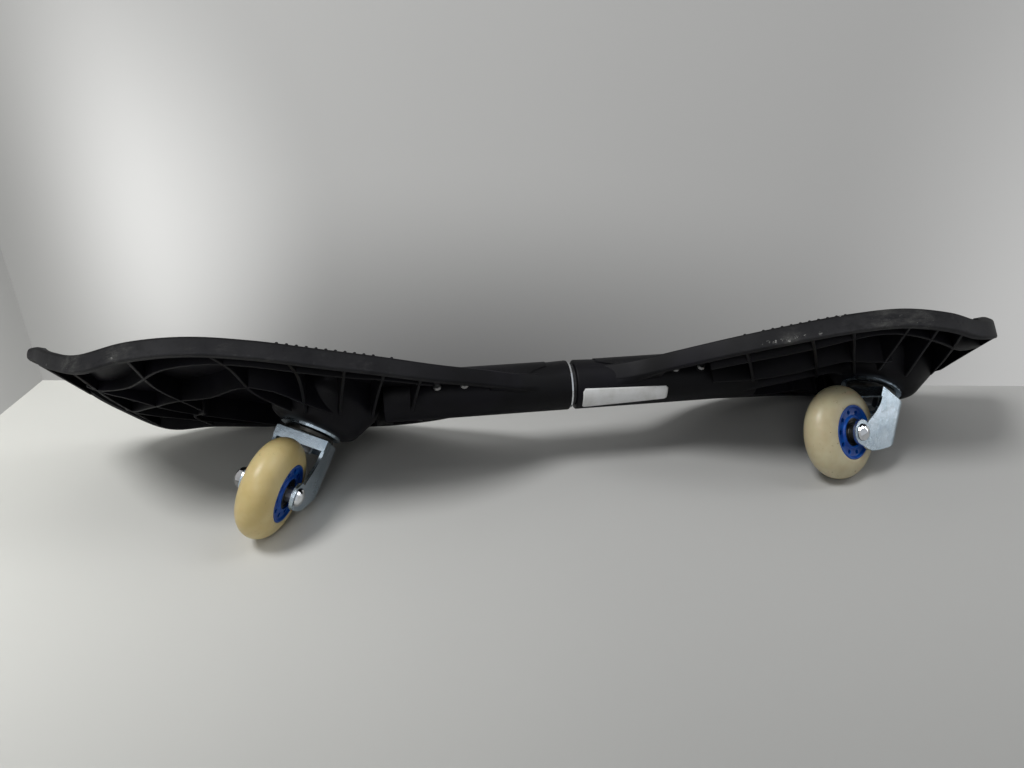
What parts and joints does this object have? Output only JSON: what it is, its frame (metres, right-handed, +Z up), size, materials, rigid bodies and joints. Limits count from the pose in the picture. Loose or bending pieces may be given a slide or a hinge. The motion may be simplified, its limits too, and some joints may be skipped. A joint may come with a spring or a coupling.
{
  "type": "caster board",
  "caption": "Two-deck caster board with a sprung twisting neck and two inclined swivel casters, lying tipped onto its wheels and deck edges.",
  "frame": {"origin": "centre of the bounding box in plan, on the floor that the board lies on", "axes": "+X along the board from the nose to the tail, +Y from the raised near lip to the lip on the floor, +Z up"},
  "size_m": [0.79, 0.1992, 0.1575],
  "materials": {
    "deck_plastic": "black moulded plastic, fine grained, greyed and scuffed on the lip",
    "zinc_steel": "bluish bright zinc on pressed steel",
    "bare_steel": "plain turned steel",
    "bright_metal": "polished plated steel",
    "cream_urethane": "cream cast urethane, slightly glossy, dirty spots",
    "blue_plastic": "glossy blue moulded plastic",
    "dark_nylon": "dark nylon"
  },
  "bodies": {
    "nose_half": {"nose_deck": "deck_plastic", "torsion_bar": "bare_steel", "pivot_sleeve": "bare_steel", "thrust_washer": "bright_metal", "neck_ring": "dark_nylon", "nose_bar_anchor": "bare_steel", "nose_cross_bolt_1": "bright_metal", "nose_cross_nut_1": "bare_steel", "nose_cross_bolt_2": "bright_metal", "nose_cross_nut_2": "bare_steel", "nose_mounting_plate": "zinc_steel", "nose_race_ring": "zinc_steel", "nose_kingpin_bolt": "bare_steel", "nose_kingpin_insert": "bare_steel"},
    "tail_half": {"tail_deck": "deck_plastic", "tail_bar_anchor": "bare_steel", "tail_cross_bolt_1": "bright_metal", "tail_cross_nut_1": "bare_steel", "tail_cross_bolt_2": "bright_metal", "tail_cross_nut_2": "bare_steel", "tail_mounting_plate": "zinc_steel", "tail_race_ring": "zinc_steel", "tail_kingpin_bolt": "bare_steel", "tail_kingpin_insert": "bare_steel"},
    "nose_caster": {"nose_fork": "zinc_steel", "nose_lower_race": "bare_steel", "nose_axle_bolt": "bright_metal", "nose_axle_nut": "bare_steel", "nose_near_fork_spacer": "bare_steel", "nose_far_fork_spacer": "bare_steel"},
    "tail_caster": {"tail_fork": "zinc_steel", "tail_lower_race": "bare_steel", "tail_axle_bolt": "bright_metal", "tail_axle_nut": "bare_steel", "tail_near_fork_spacer": "bare_steel", "tail_far_fork_spacer": "bare_steel"},
    "nose_wheel": {"nose_tyre": "cream_urethane", "nose_hub_core": "blue_plastic", "nose_near_bearing": "bare_steel", "nose_far_bearing": "bare_steel", "nose_bearing_spacer": "bare_steel"},
    "tail_wheel": {"tail_tyre": "cream_urethane", "tail_hub_core": "blue_plastic", "tail_near_bearing": "bare_steel", "tail_far_bearing": "bare_steel", "tail_bearing_spacer": "bare_steel"}
  },
  "joints": [
    {"name": "neck_twist", "type": "hinge", "parent": "nose_half", "child": "tail_half", "pos_m": [0.02112, 0.00415, 0.06851], "axis": [1, 0.002, 0.0022], "range_deg": [-30, 30], "stiffness_Nm_per_rad": 20},
    {"name": "nose_swivel", "type": "hinge", "parent": "nose_half", "child": "nose_caster", "pos_m": [-0.18572, -0.01008, 0.05276], "axis": [0.4199, 0.6086, 0.6733], "continuous": true},
    {"name": "tail_swivel", "type": "hinge", "parent": "tail_half", "child": "tail_caster", "pos_m": [0.27678, -0.00914, 0.0538], "axis": [0.4199, 0.6086, 0.6733], "continuous": true},
    {"name": "nose_wheel_spin", "type": "hinge", "parent": "nose_caster", "child": "nose_wheel", "pos_m": [-0.21061, -0.0633, 0.03694], "axis": [0.9037, -0.3489, -0.2482], "continuous": true},
    {"name": "tail_wheel_spin", "type": "hinge", "parent": "tail_caster", "child": "tail_wheel", "pos_m": [0.23176, -0.04578, 0.03553], "axis": [0.4674, -0.7809, 0.4143], "continuous": true}
  ]
}
